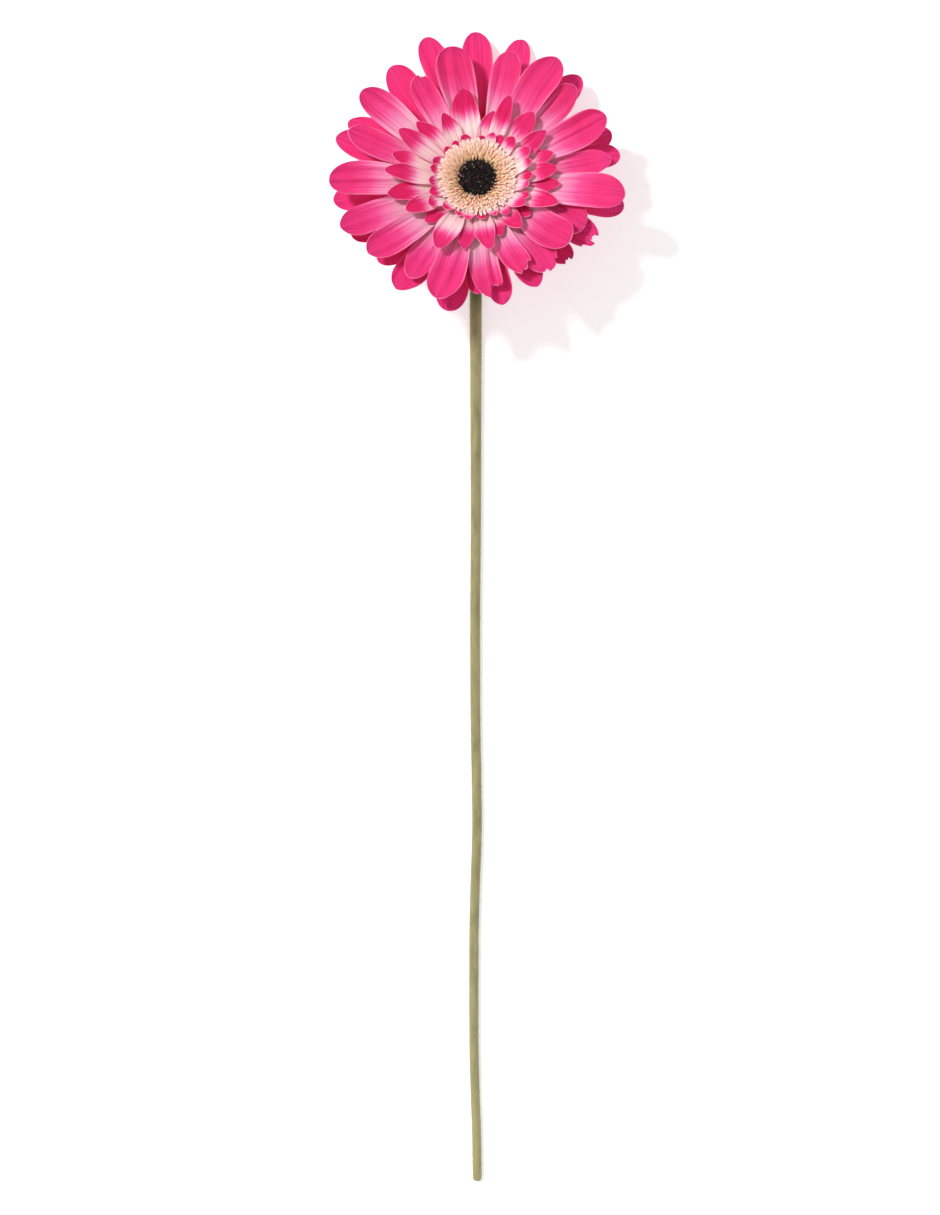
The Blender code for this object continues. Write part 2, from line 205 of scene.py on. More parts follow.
def set_out(name, template, places, tones):
    """Copies of a small piece as one object, each placed by its own matrix and with its own tone."""
    shape = np.array([vertex.co for vertex in template.data.vertices])
    heights = np.clip(shape[:, 2], 0.0, 1.0).astype(np.float32)
    faces = [tuple(face.vertices) for face in template.data.polygons]
    points = []
    all_faces = []
    for number, place in enumerate(places):
        turn = np.array(place)
        points.append(shape @ turn[:3, :3].T + turn[:3, 3])
        first = number * len(shape)
        all_faces += [tuple(first + corner for corner in face) for face in faces]
    mesh = bpy.data.meshes.new(name)
    mesh.from_pydata(np.concatenate(points), [], all_faces)
    piece = bpy.data.objects.new(name, mesh)
    bpy.context.scene.collection.objects.link(piece)
    give_attribute(mesh, "tone", np.repeat(np.array(tones, np.float32), len(shape)))
    give_attribute(mesh, "height", np.tile(heights, len(places)))
    return piece


def standing(foot, direction, facing, width, length):
    """A matrix that stands a piece modelled along Z on its foot, its X side turned to face a direction."""
    along = direction.normalized()
    across = along.cross(facing).normalized()
    front = across.cross(along)
    turn = Matrix((front * width, across * width, along * length)).transposed().to_4x4()
    return Matrix.Translation(foot) @ turn


def one_hair():
    """A three-sided hair, one unit long, sunk a little into what it grows from."""
    bpy.ops.object.select_all(action="DESELECT")
    bpy.ops.mesh.primitive_cone_add(
        vertices=3, radius1=HAIR_RADIUS, radius2=0.0, depth=1 + HAIR_SUNK, end_fill_type="NOTHING",
        location=(0.0, 0.0, 0.5 * (1 - HAIR_SUNK)),
    )
    hair = bpy.context.object
    hair.data.transform(hair.matrix_world)
    hair.matrix_world = Matrix.Identity(4)
    return hair


def stem_hairs(curve):
    """Fine hairs over the stem, leaning towards the head, left out where it lies on the floor."""
    draw = random.Random(21)
    places = []
    tones = []
    while len(places) < STEM_HAIRS:
        number = draw.randrange(1, len(curve) - BALD_END_POINTS)
        start, end = curve[number], curve[number + 1]
        share = draw.random()
        middle = start.lerp(end, share)
        along = (start.xyz - end.xyz).normalized()
        side = along.cross(upward).normalized()
        over = side.cross(along)
        angle = draw.uniform(0, 2 * math.pi)
        out = math.cos(angle) * side + math.sin(angle) * over
        foot = middle.xyz + out * middle.w
        if foot.z < BALD_HEIGHT:
            continue
        lean = out + along * draw.uniform(-0.1, 0.9) + side * draw.uniform(-0.4, 0.4)
        length = draw.uniform(*STEM_HAIR_LENGTHS) * MM
        places.append(standing(foot, lean, along, MM, length))
        tones.append(draw.random())
    template = one_hair()
    hairs = set_out("stem_hairs", template, places, tones)
    bpy.data.objects.remove(template, do_unlink=True)
    return hairs


def join(name, pieces):
    """Makes one object of several, named for the piece that it is."""
    bpy.ops.object.select_all(action="DESELECT")
    for piece in pieces:
        piece.select_set(True)
    bpy.context.view_layer.objects.active = pieces[0]
    bpy.ops.object.join()
    joined = bpy.context.object
    joined.name = name
    joined.data.name = name
    return joined


def new_finish(name, **sockets):
    """A material with a lone Principled shader. Even values are set on the shader's own sockets."""
    finish = bpy.data.materials.new(name)
    finish.use_nodes = True
    shader = finish.node_tree.nodes["Principled BSDF"]
    for socket, value in sockets.items():
        shader.inputs[socket.replace("_", " ").title().replace("Ior", "IOR")].default_value = value
    return finish


def node(finish, kind, sockets, **settings):
    """Adds a node. Each socket, by name or number, takes a value or another node's output."""
    made = finish.node_tree.nodes.new(kind)
    for setting, value in settings.items():
        setattr(made, setting, value)
    for socket, value in sockets.items():
        if isinstance(value, bpy.types.NodeSocket):
            finish.node_tree.links.new(value, made.inputs[socket])
        else:
            made.inputs[socket].default_value = value
    return made


def calc(finish, operation, first, second=0.0, third=0.0):
    """One step of arithmetic on values."""
    sockets = {0: first, 1: second, 2: third}
    return node(finish, "ShaderNodeMath", sockets, operation=operation).outputs[0]


def spread(finish, value, low, high, start=0.0, end=1.0):
    """Eases a value from one range to another, and holds it at the ends."""
    sockets = {"Value": value, "From Min": low, "From Max": high, "To Min": start, "To Max": end}
    return node(finish, "ShaderNodeMapRange", sockets, interpolation_type="SMOOTHSTEP").outputs["Result"]


def tint(finish, factor, first, second, mode="MIX"):
    """The first colour, turned into the second by the factor."""
    sockets = {0: factor, 6: first, 7: second}
    made = node(finish, "ShaderNodeMix", sockets, data_type="RGBA", blend_type=mode)
    return made.outputs[2]


def ramp(finish, factor, stops):
    """A colour that runs through the stops, each a position and its colour."""
    made = node(finish, "ShaderNodeValToRGB", {"Fac": factor})
    elements = made.color_ramp.elements
    while len(elements) < len(stops):
        elements.new(0.5)
    for element, (position, colour) in zip(elements, stops):
        element.position = position
        element.color = (*colour, 1.0)
    return made.outputs["Color"]


def noise(finish, vector, scale, detail=2.0, roughness=0.5):
    """Soft uneven patches, more of them to the metre the larger the scale."""
    sockets = {"Vector": vector, "Scale": scale, "Detail": detail, "Roughness": roughness}
    return node(finish, "ShaderNodeTexNoise", sockets).outputs["Fac"]


def attribute(finish, name):
    """The number that give_attribute kept on the points."""
    return node(finish, "ShaderNodeAttribute", {}, attribute_name=name).outputs["Fac"]


def bump(finish, height, distance):
    """Small relief, as high as the distance."""
    sockets = {"Height": height, "Distance": distance, "Strength": 1.0}
    return node(finish, "ShaderNodeBump", sockets).outputs["Normal"]


def wire(finish, **sockets):
    """Links outputs to the shader's sockets."""
    shader = finish.node_tree.nodes["Principled BSDF"]
    for socket, output in sockets.items():
        finish.node_tree.links.new(output, shader.inputs[socket.replace("_", " ").title()])


def object_place(finish):
    """Where a point is on the object."""
    return node(finish, "ShaderNodeTexCoord", {}).outputs["Object"]


def stem_skin(finish):
    """The stem's skin: olive, mottled in short streaks, greener and darker where it nears the head, the
    darkness painted shade under the head.
    """
    place = object_place(finish)
    lengthened = {"Vector": place, "Scale": (1.0, 0.22, 1.0)}
    drawn_out = node(finish, "ShaderNodeMapping", lengthened).outputs["Vector"]
    mottle = noise(finish, drawn_out, 420.0, 3.0, 0.6)
    cloud = noise(finish, place, 46.0)
    colour = ramp(finish, mottle, SKIN_STOPS)
    colour = tint(finish, spread(finish, cloud, 0.35, 0.7, 0.0, 0.4), colour, SKIN_CLOUD)
    along = node(finish, "ShaderNodeSeparateXYZ", {"Vector": place}).outputs["Y"]
    colour = tint(finish, spread(finish, along, -0.26, -0.10, 0.35, 0.0), colour, SKIN_LOWER_END)
    # Greener towards the head, and darker there as painted shade under the head.
    green_start = head_centre.y - NECK_GREEN_AND_SHADE_START
    green_full = head_centre.y - NECK_GREEN_AND_SHADE_FULL
    colour = tint(finish, spread(finish, along, green_start, green_full), colour, NECK_GREEN_AND_SHADE)
    return colour, mottle


stem_finish = new_finish(
    "stem skin", roughness=0.8, sheen_weight=0.35, sheen_roughness=0.5, sheen_tint=(0.9, 0.88, 0.7, 1.0)
)
colour, mottle = stem_skin(stem_finish)
wire(stem_finish, base_color=colour, normal=bump(stem_finish, mottle, 0.12 * MM))
hair_finish = new_finish("stem hair", roughness=0.7)
colour, mottle = stem_skin(hair_finish)
colour = tint(hair_finish, 0.35, colour, HAIR_COLOUR)
wire(hair_finish, base_color=colour)

stem_curve = eased(stem_route(), CURVE_STEP)
stem_body = tube("stem", stem_curve, 10)
stem_body.data.materials.append(stem_finish)
hairs = stem_hairs(stem_curve)
hairs.data.materials.append(hair_finish)
stem_piece = join("stem_with_hairs", [stem_body, hairs])
bpy.ops.object.shade_smooth()
for vertex in stem_piece.data.vertices:
    vertex.co.z = max(0.0, vertex.co.z)
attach(stem_piece, "root")
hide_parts("stem")


# Involucre. The green cup that the stem widens into, with rows of narrow hairy bracts lying up its sides and
# standing off at their tips. The pale fleshy receptacle inside it carries the petals.

# Radius and height of each ring, in millimetres, from the neck up round the cup and up the receptacle.
CUP_PROFILE = (
    (3.5, -14.7), (4.0, -14.5), (4.1, -13.0), (4.5, -11.2), (5.1, -9.4), (6.2, -7.3), (7.6, -5.4),
    (9.2, -3.5), (11.0, -1.6), (12.0, -0.7), (12.1, -0.4), (11.7, -0.3), (9.5, -0.3), (9.5, 3.5),
    (8.5, 3.5), (8.5, 5.2), (7.5, 5.2), (7.5, 7.2), (0.1, 7.2),
)
# Each row of bracts: how many, root radius, root height and reach in millimetres, and its turn as a share of
# the space between two bracts. Half width and thickness are shares of a bract's run.
BRACT_ROWS = ((13, 3.9, -13.6, 14.2, 0.0), (15, 4.3, -12.2, 16.2, 0.35), (17, 5.0, -10.2, 17.3, 0.1))
BRACT_PITCH = math.radians(38)
BRACT_CURL = math.radians(18)
BRACT_HALF_WIDTH = 0.17
BRACT_THICKNESS = 0.045
BRACT_HAIRS = 3600
BRACT_HAIR_LENGTHS = (0.3, 0.9)
# The bracts' mottled green, its yellower clouds, and the green that some bracts lean to.
BRACT_STOPS = ((0.3, (0.055, 0.085, 0.022)), (0.7, (0.125, 0.165, 0.05)))
BRACT_CLOUD = (0.19, 0.20, 0.075, 1.0)
BRACT_FRESH_GREEN = (0.10, 0.16, 0.04, 1.0)


def turned_up(name, profile, sides):
    """A round body drawn up ring by ring from a small disc, its ends closed."""
    radius, height = profile[0]
    bpy.ops.object.select_all(action="DESELECT")
    bpy.ops.mesh.primitive_circle_add(
        vertices=sides, radius=radius * MM, location=(0.0, 0.0, height * MM), fill_type="NGON"
    )
    body = bpy.context.object
    body.name = name
    bpy.ops.object.mode_set(mode="EDIT")
    bpy.ops.mesh.select_all(action="SELECT")
    for next_radius, next_height in profile[1:]:
        rise = (0.0, 0.0, (next_height - height) * MM)
        share = next_radius / radius
        bpy.ops.mesh.extrude_region_move(TRANSFORM_OT_translate={"value": rise})
        bpy.ops.transform.resize(value=(share, share, 1.0), center_override=(0.0, 0.0, next_height * MM))
        radius, height = next_radius, next_height
    bpy.ops.mesh.select_all(action="SELECT")
    bpy.ops.mesh.normals_make_consistent(inside=False)
    bpy.ops.object.mode_set(mode="OBJECT")
    body.data.transform(body.matrix_world)
    body.matrix_world = Matrix.Identity(4)
    return body


def thicken(blade, thickness, own_finishes=False):
    """Gives a flat blade its thickness, half to each side. Its back and rim may have their own finishes."""
    wall = blade.modifiers.new("thickness", "SOLIDIFY")
    wall.thickness = thickness
    wall.offset = 0.0
    if own_finishes:
        wall.material_offset = 1
        wall.material_offset_rim = 2
    bpy.ops.object.modifier_apply(modifier="thickness")


def arched(reach, first, last, share):
    """A blade's slope, run and rise at a share of its length, as it bends from first slope to last."""
    slope = first + (last - first) * share
    whole = math.sin(last) - math.sin(first)
    run = reach * (math.sin(slope) - math.sin(first)) / whole
    rise = reach * (math.cos(first) - math.cos(slope)) / whole
    return slope, run, rise


def one_bract():
    """A lance-shaped bract that arches up and out from its root, its run along Y one unit long."""
    bpy.ops.object.select_all(action="DESELECT")
    bpy.ops.mesh.primitive_grid_add(x_subdivisions=6, y_subdivisions=16, size=2.0)
    bract = bpy.context.object
    for vertex in bract.data.vertices:
        share = 0.5 * (vertex.co.y + 1)
        side = vertex.co.x
        slope, run, rise = arched(1.0, BRACT_PITCH + BRACT_CURL, BRACT_PITCH - BRACT_CURL, share)
        half = BRACT_HALF_WIDTH * (0.35 + 0.65 * math.sin(math.pi * share**0.7)) * (1 - share**5)
        keel = 0.35 * half * (abs(side) ** 1.4 - 0.4)
        vertex.co = (half * side, run - keel * math.sin(slope), rise + keel * math.cos(slope))
    thicken(bract, BRACT_THICKNESS)
    return bract


def bract_leaf(draw, clock, root_radius, root_height, reach):
    """Where a bract goes: turned round the head's axis and sized to its reach."""
    run = (reach - root_radius) * MM
    size = Matrix.Diagonal((run * draw.uniform(0.85, 1.1), run, run * draw.uniform(0.88, 1.06), 1.0))
    foot = Matrix.Translation((0.0, root_radius * MM, root_height * MM))
    sway = Matrix.Rotation(math.radians(draw.uniform(-6, 6)), 4, "Y")
    return head_place @ Matrix.Rotation(-clock, 4, "Z") @ foot @ sway @ size


def bract_hairs_on(piece):
    """Fine hairs standing on the bracts, spread over their faces by area."""
    draw = random.Random(32)
    faces = [face for face in piece.data.polygons if face.area > 0]
    chosen = draw.choices(faces, [face.area for face in faces], k=BRACT_HAIRS)
    places = []
    for face in chosen:
        corners = [piece.data.vertices[corner].co for corner in face.vertices]
        foot = face.center.lerp(draw.choice(corners), draw.uniform(0.0, 0.9))
        lean = face.normal + Vector([draw.uniform(-0.5, 0.5) for _ in range(3)])
        length = draw.uniform(*BRACT_HAIR_LENGTHS) * MM
        places.append(standing(foot, lean, Vector((0.3, 0.2, 1.0)), MM, length))
    template = one_hair()
    hairs = set_out("bract_hairs", template, places, [draw.random() for _ in places])
    bpy.data.objects.remove(template, do_unlink=True)
    return hairs


bract_finish = new_finish(
    "bract green", roughness=0.72, sheen_weight=0.2, sheen_roughness=0.5, sheen_tint=(0.8, 0.85, 0.6, 1.0)
)
place = object_place(bract_finish)
mottle = noise(bract_finish, place, 700.0, 3.0, 0.6)
cloud = noise(bract_finish, place, 120.0)
colour = ramp(bract_finish, mottle, BRACT_STOPS)
colour = tint(bract_finish, spread(bract_finish, cloud, 0.4, 0.7, 0.0, 0.6), colour, BRACT_CLOUD)
tone = attribute(bract_finish, "tone")
colour = tint(bract_finish, spread(bract_finish, tone, 0.0, 1.0, 0.0, 0.35), colour, BRACT_FRESH_GREEN)
wire(bract_finish, base_color=colour, normal=bump(bract_finish, mottle, 0.1 * MM))

cup = turned_up("cup", CUP_PROFILE, 64)
cup.data.transform(head_place)
draw = random.Random(31)
places = []
tones = []
for count, root_radius, root_height, reach, turn in BRACT_ROWS:
    for place in range(count):
        clock = 2 * math.pi * (place + turn + draw.uniform(-0.12, 0.12)) / count
        places.append(bract_leaf(draw, clock, root_radius, root_height, reach + draw.uniform(-1.0, 0.0)))
        tones.append(draw.random())
template = one_bract()
bracts = set_out("bracts", template, places, tones)
bpy.data.objects.remove(template, do_unlink=True)
bract_hairs = bract_hairs_on(bracts)
for part in (cup, bracts):
    part.data.materials.append(bract_finish)
bract_hairs.data.materials.append(hair_finish)
involucre = join("involucre_with_bracts", [cup, bracts, bract_hairs])
bpy.ops.object.shade_smooth_by_angle(angle=math.radians(45))
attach(involucre, "root")
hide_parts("involucre")


# Petals. A double gerbera's head is rows of strap petals set round a fleshy receptacle, each row shorter
# and steeper than the one below. A petal is a thin soft blade with two or three lengthwise folds, pale at
# its foot and deep pink towards its tip, with a paler rim.

PETAL_THICKNESS = 0.34 * MM
CAD_PETAL_THICKNESS = 0.7 * MM
STEEPEST_RAISE = math.radians(30)
HALVINGS = 24

# A row of petals. Its root ring lies between two radii and two heights in millimetres. Then come its petals'
# form, as shares of width and length, their curl, their pitch with its swing round the head and its step in
# degrees, the seed of the draws, the blades' grid, how far the pale foot goes, and how quickly it ends.
Whorl = namedtuple(
    "Whorl",
    "inner outer low high claw widest point cup curl pitch swing step seed columns rows pale fade",
)
BACK = Whorl(
    inner=9.8, outer=12.6, low=0.0, high=1.5, claw=0.22, widest=0.75, point=0.02, cup=0.14, curl=4,
    pitch=0.3, swing=5.5, step=-2.6, seed=11, columns=28, rows=56, pale=0.34, fade=2.0,
)
FRONT = Whorl(
    inner=9.8, outer=12.4, low=1.9, high=3.5, claw=0.22, widest=0.75, point=0.03, cup=0.16, curl=3,
    pitch=12.5, swing=1.5, step=2.6, seed=12, columns=28, rows=56, pale=0.5, fade=2.0,
)
SHORT = Whorl(
    inner=8.8, outer=11.4, low=3.8, high=5.2, claw=0.3, widest=0.62, point=0.5, cup=0.16, curl=-1,
    pitch=22, swing=1.0, step=3.0, seed=13, columns=20, rows=34, pale=0.6, fade=3.2,
)
INNER = Whorl(
    inner=7.8, outer=10.2, low=6.0, high=7.2, claw=0.42, widest=0.66, point=0.25, cup=0.15, curl=-8,
    pitch=29.5, swing=0.0, step=2.8, seed=14, columns=14, rows=24, pale=0.74, fade=3.6,
)

# Where each petal points, how far its tip is from the head's axis, and its width: clock degrees, then
# millimetres.
BACK_PETALS = (
    (1, 71, 13.6), (17, 72, 12.8), (42, 68, 13.2), (67, 64, 13), (78, 64, 12.4), (99, 65, 14),
    (117, 59, 13), (132, 54, 12.5), (150, 55, 13), (169, 57, 12), (181, 52, 12.5), (193, 60, 14.5),
    (213, 61, 14.5), (229, 56, 12.5), (246, 60, 13.5), (264, 63, 14), (288, 65, 13.5), (299, 64, 12.5),
    (324, 66, 14.5), (344, 73, 13),
)
FRONT_PETALS = (
    (16, 60, 12.8), (32, 64, 15.4), (47, 60, 12.4), (66, 62, 14.6), (82, 59, 12.4), (98, 65, 16.2),
    (112, 52, 16.5), (127, 51, 16), (143, 53, 15.5), (158, 50, 12.2), (176, 55, 13.4), (195, 60, 15.4),
    (213, 55, 12.8), (231, 60, 14.2), (249, 64, 13.6), (269, 64, 15.8), (289, 60, 12.4), (306, 63, 14),
    (329, 54, 11.8), (350, 60, 16.6),
)
SHORT_PETALS = (
    (11, 31, 8.6), (23, 38, 7.8), (42, 38, 10.5), (59, 36, 8.6), (73, 35, 8.6), (86, 35, 8.6),
    (98, 36, 8.4), (112, 38, 9.5), (128, 29, 8), (143, 31, 8.5), (158, 29, 7.5), (173, 35, 9.2),
    (191, 34, 8.2), (208, 39, 10.6), (226, 30, 8.5), (242, 35, 8.6), (257, 40, 9.2), (271, 40, 8.6),
    (285, 38, 8.4), (299, 39, 9.4), (315, 36, 8.6), (332, 32, 8), (349, 40, 12.6),
)
INNER_PETALS = (
    (4, 19, 5.6), (18, 20.5, 5.2), (33, 21.5, 5.8), (46, 23.5, 6), (62, 26, 6.4), (77, 24.5, 6),
    (90, 24.5, 5.6), (102, 23.5, 5.8), (114, 24.5, 6), (127, 25.5, 6.4), (141, 22.5, 5.6),
    (157, 20, 5.4), (174, 19.8, 5.8), (192, 21, 5.6), (206, 19.5, 5.4), (221, 21, 5.8), (237, 25, 6.4),
    (250, 22, 5.8), (265, 21.2, 5.4), (280, 20.8, 5.6), (295, 20.7, 5.4), (310, 19.2, 5.2),
    (327, 19, 5.4), (346, 19.8, 5.6),
)

# Petals with torn tips, by clock degrees: each tear goes from one side to another, and back by a share of
# the petal's length.
WHOLE_TIP = ()
TEAR_SLOPE = 0.04
FRONT_TIPS = {
    143: ((-0.95, -0.45, 0.07), (0.1, 0.45, 0.035)), 158: ((-1.1, -0.4, 0.13), (-0.4, 0.15, 0.05)),
    176: ((-1.1, -0.05, 0.13), (0.4, 0.65, 0.03)), 329: ((0.2, 0.7, 0.04),),
}
BACK_TIPS = {
    117: ((-0.3, 0.25, 0.06), (0.6, 1.1, 0.1)), 132: ((-0.1, 0.4, 0.04),), 181: ((-1.1, -0.3, 0.08),),
}
# Petals whose pale foot goes further up than the others', by clock degrees.
FRONT_FEET = {47: 0.66, 249: 0.56, 306: 0.6}
# One petal's own habit: its bend, tip, twist, ridges, creases, ripples, tears and colour.
Habit = namedtuple(
    "Habit",
    "size bend skew rounding sharpness twist ridges shift depth creases waves phase ripple flare lift torn"
    " tone pale",
)
USUAL_WIDTH = 14
NARROW_WIDTH = 9.2


def habit_of(draw, width, layer, torn, foot):
    """The small differences that make one petal unlike the next. Lengths are in millimetres."""
    size = width / USUAL_WIDTH
    creases = tuple(
        (side + draw.uniform(-0.12, 0.12), draw.uniform(0.05, 0.65) * size) for side in (-0.5, 0.0, 0.5)
    )
    return Habit(
        size=size,
        bend=draw.uniform(-1.8, 1.8) * size,
        skew=draw.uniform(-1.1, 1.1) * size,
        rounding=draw.uniform(0.42, 0.62),
        sharpness=min(1.0, NARROW_WIDTH / width) ** 2 * draw.uniform(0.7, 1.2),
        twist=math.radians(draw.uniform(-9, 9)),
        ridges=draw.uniform(2.0, 3.1),
        shift=draw.uniform(-0.5, 0.5),
        depth=draw.uniform(0.18, 0.52) * size,
        creases=creases,
        waves=draw.uniform(1.2, 2.4),
        phase=draw.random(),
        ripple=draw.uniform(0.25, 0.8) * size,
        flare=math.copysign(draw.uniform(0.1, 0.7), layer) * size,
        lift=draw.uniform(-1.0, 1.2) * size,
        torn=torn,
        tone=draw.random(),
        pale=foot + draw.uniform(-0.08, 0.08),
    )


def outline(whorl, share, rounding=0.46, sharpness=1.0):
    """A petal's half width at a share of its length, as a share of its greatest half width."""
    if share < whorl.widest:
        rise = math.sin(0.5 * math.pi * share / whorl.widest) ** 1.35
        return whorl.claw + (1 - whorl.claw) * rise
    past = (share - whorl.widest) / (1 - whorl.widest)
    rounded = max(0.0, 1 - past**2.5) ** rounding
    pointed = 1 - past**1.6
    point = whorl.point * sharpness
    return max(0.04, point * pointed + (1 - point) * rounded)


def relief(habit, share, side, wide):
    """How far the blade stands off its smooth form: ridges, creases, a rippled edge and a lifted tip."""
    along = smooth_step(0.05, 0.35, share) * (1 - 0.75 * smooth_step(0.7, 1.0, share))
    across = side * wide
    ridge = habit.depth * math.cos(math.pi * (habit.ridges * across + habit.shift))
    crease = sum(depth * math.exp(-(((across - place) / 0.13) ** 2)) for place, depth in habit.creases)
    turn = 2 * math.pi * (habit.waves * share + habit.phase)
    edge = habit.ripple * abs(side) ** 3 * math.sin(turn + 1.8 * side) * share * wide
    slow = 0.4 * habit.size * math.sin(0.6 * turn) * share
    flare = habit.flare * smooth_step(0.6, 1.0, abs(side)) * smooth_step(0.3, 0.6, share) * wide
    return (ridge - crease) * along + edge + slow + flare + habit.lift * smooth_step(0.72, 1.0, share) ** 2


def tear(habit, share, across):
    """The share of the length where the blade ends up once its tip is torn."""
    limit = 1.0 + 0.008 * math.sin(23 * across)
    for start, end, depth in habit.torn:
        entered = smooth_step(start - TEAR_SLOPE, start + TEAR_SLOPE, across)
        left = smooth_step(end - TEAR_SLOPE, end + TEAR_SLOPE, across)
        limit -= depth * (entered * (1 - left))
    return share if share <= limit else limit + 0.02 * (share - limit)


def outward_at(clock):
    """The direction away from the head's axis at a clock angle."""
    return Vector((math.sin(clock), math.cos(clock), 0.0))


def petal_point(whorl, root, clock, reach, width, pitch, roll, share, side, habit=None):
    """A point of the petal's middle surface. Share runs from root to tip, side from -1 to 1.

    With no habit it is the plain petal of the solid.
    """
    curl = math.radians(whorl.curl)
    wide = outline(whorl, share)
    half = 0.5 * width * MM * wide * side
    turned = roll * share
    lift = whorl.cup * abs(half * side)
    sideways = 0.0
    if habit is not None:
        wide = outline(whorl, share, habit.rounding, habit.sharpness)
        uneven = 1 + 0.05 * math.sin(2 * math.pi * (1.3 * share + habit.phase) + 2 * side)
        half = 0.5 * width * MM * wide * side * uneven
        turned += habit.twist * share**2
        lift = lift * abs(side) + relief(habit, share, side, wide) * MM
        sideways = (habit.bend * share**2 + habit.skew * smooth_step(0.65, 1.0, share)) * MM
        if habit.torn:
            share = tear(habit, share, wide * side)
    lift += half * math.sin(turned)
    slope, run, rise = arched(reach * MM - root[0], pitch + curl, pitch - curl, share)
    outward = outward_at(clock)
    across = Vector((math.cos(clock), -math.sin(clock), 0.0))
    facing = math.cos(slope) * upward - math.sin(slope) * outward
    middle = outward * (root[0] + run) + upward * (root[1] + rise)
    return middle + across * (half * math.cos(turned) + sideways) + facing * lift


def resting_pitch(whorl, root, clock, reach, width, pitch, roll):
    """The pitch, raised if need be until the petal's tip only rests on the surface."""
    def lowest(angle):
        tips = [
            petal_point(whorl, root, clock, reach, width, angle, roll, 1.0, side) for side in (-1, 0, 1)
        ]
        return min((head_place @ tip).z for tip in tips) - 0.5 * CAD_PETAL_THICKNESS

    if lowest(pitch) >= 0:
        return pitch
    low, high = pitch, pitch + STEEPEST_RAISE
    for _ in range(HALVINGS):
        middle = 0.5 * (low + high)
        if lowest(middle) < 0:
            low = middle
        else:
            high = middle
    return high


def petal(whorl, root, clock, reach, width, pitch, roll, habit):
    """One petal, shaped from a flat grid whose UV map runs across and along it."""
    bpy.ops.object.select_all(action="DESELECT")
    bpy.ops.mesh.primitive_grid_add(
        x_subdivisions=whorl.columns, y_subdivisions=whorl.rows, size=2.0, calc_uvs=True
    )
    blade = bpy.context.object
    margins = []
    for corner in blade.data.uv_layers.active.data:
        share = math.sin(0.5 * math.pi * corner.uv.y)
        corner.uv = (0.5 + (corner.uv.x - 0.5) * outline(whorl, share) ** 0.4, share)
    for vertex in blade.data.vertices:
        # Rows draw closer together towards the rounded tip.
        share = math.sin(0.25 * math.pi * (vertex.co.y + 1))
        margins.append(max(abs(vertex.co.x), smooth_step(0.965, 1.0, share)))
        place = petal_point(whorl, root, clock, reach, width, pitch, roll, share, vertex.co.x, habit)
        vertex.co = head_place @ place
        vertex.co.z = max(0.6 * PETAL_THICKNESS, vertex.co.z)
    give_attribute(blade.data, "margin", margins)
    for name, value in (("tone", habit.tone), ("pale", habit.pale), ("fade", whorl.fade)):
        give_attribute(blade.data, name, [value] * len(margins))
    return blade


def row_of_petals(name, whorl, places, tips, feet, face):
    """A whole row, each petal where the solid has it, thickened from its middle surface."""
    draw = random.Random(whorl.seed)
    own = random.Random(whorl.seed + 100)
    root = (0.5 * (whorl.inner + whorl.outer) * MM, 0.5 * (whorl.low + whorl.high) * MM)
    blades = []
    for place, (degrees, reach, width) in enumerate(places):
        clock = math.radians(degrees)
        roll = math.radians(draw.uniform(-6, 6))
        layer = whorl.step if place % 2 else -whorl.step
        pitch = math.radians(whorl.pitch - whorl.swing * math.cos(clock) + layer + draw.uniform(-0.7, 0.7))
        pitch = resting_pitch(whorl, root, clock, reach, width, pitch, roll)
        foot = feet.get(degrees, whorl.pale)
        habit = habit_of(own, width, layer, tips.get(degrees, WHOLE_TIP), foot)
        blades.append(petal(whorl, root, clock, reach, width, pitch, roll, habit))
    row = join(name, blades)
    for finish in (petal_finishes[face], petal_finishes["petal underside"], petal_edge):
        row.data.materials.append(finish)
    thicken(row, PETAL_THICKNESS, own_finishes=True)
    bpy.ops.object.shade_smooth_by_angle(angle=math.radians(50))
    return row


LIGHTER_PETAL = (0.80, 0.06, 0.30, 1.0)
PETAL_STREAKS = (0.78, 0.38, 0.52, 1.0)
PETAL_VEINS = (0.85, 0.5, 0.62, 1.0)
PALE_PETAL_EDGE = (0.95, 0.32, 0.50, 1.0)
DARK_PETAL_TIP = (0.36, 0.02, 0.14, 1.0)


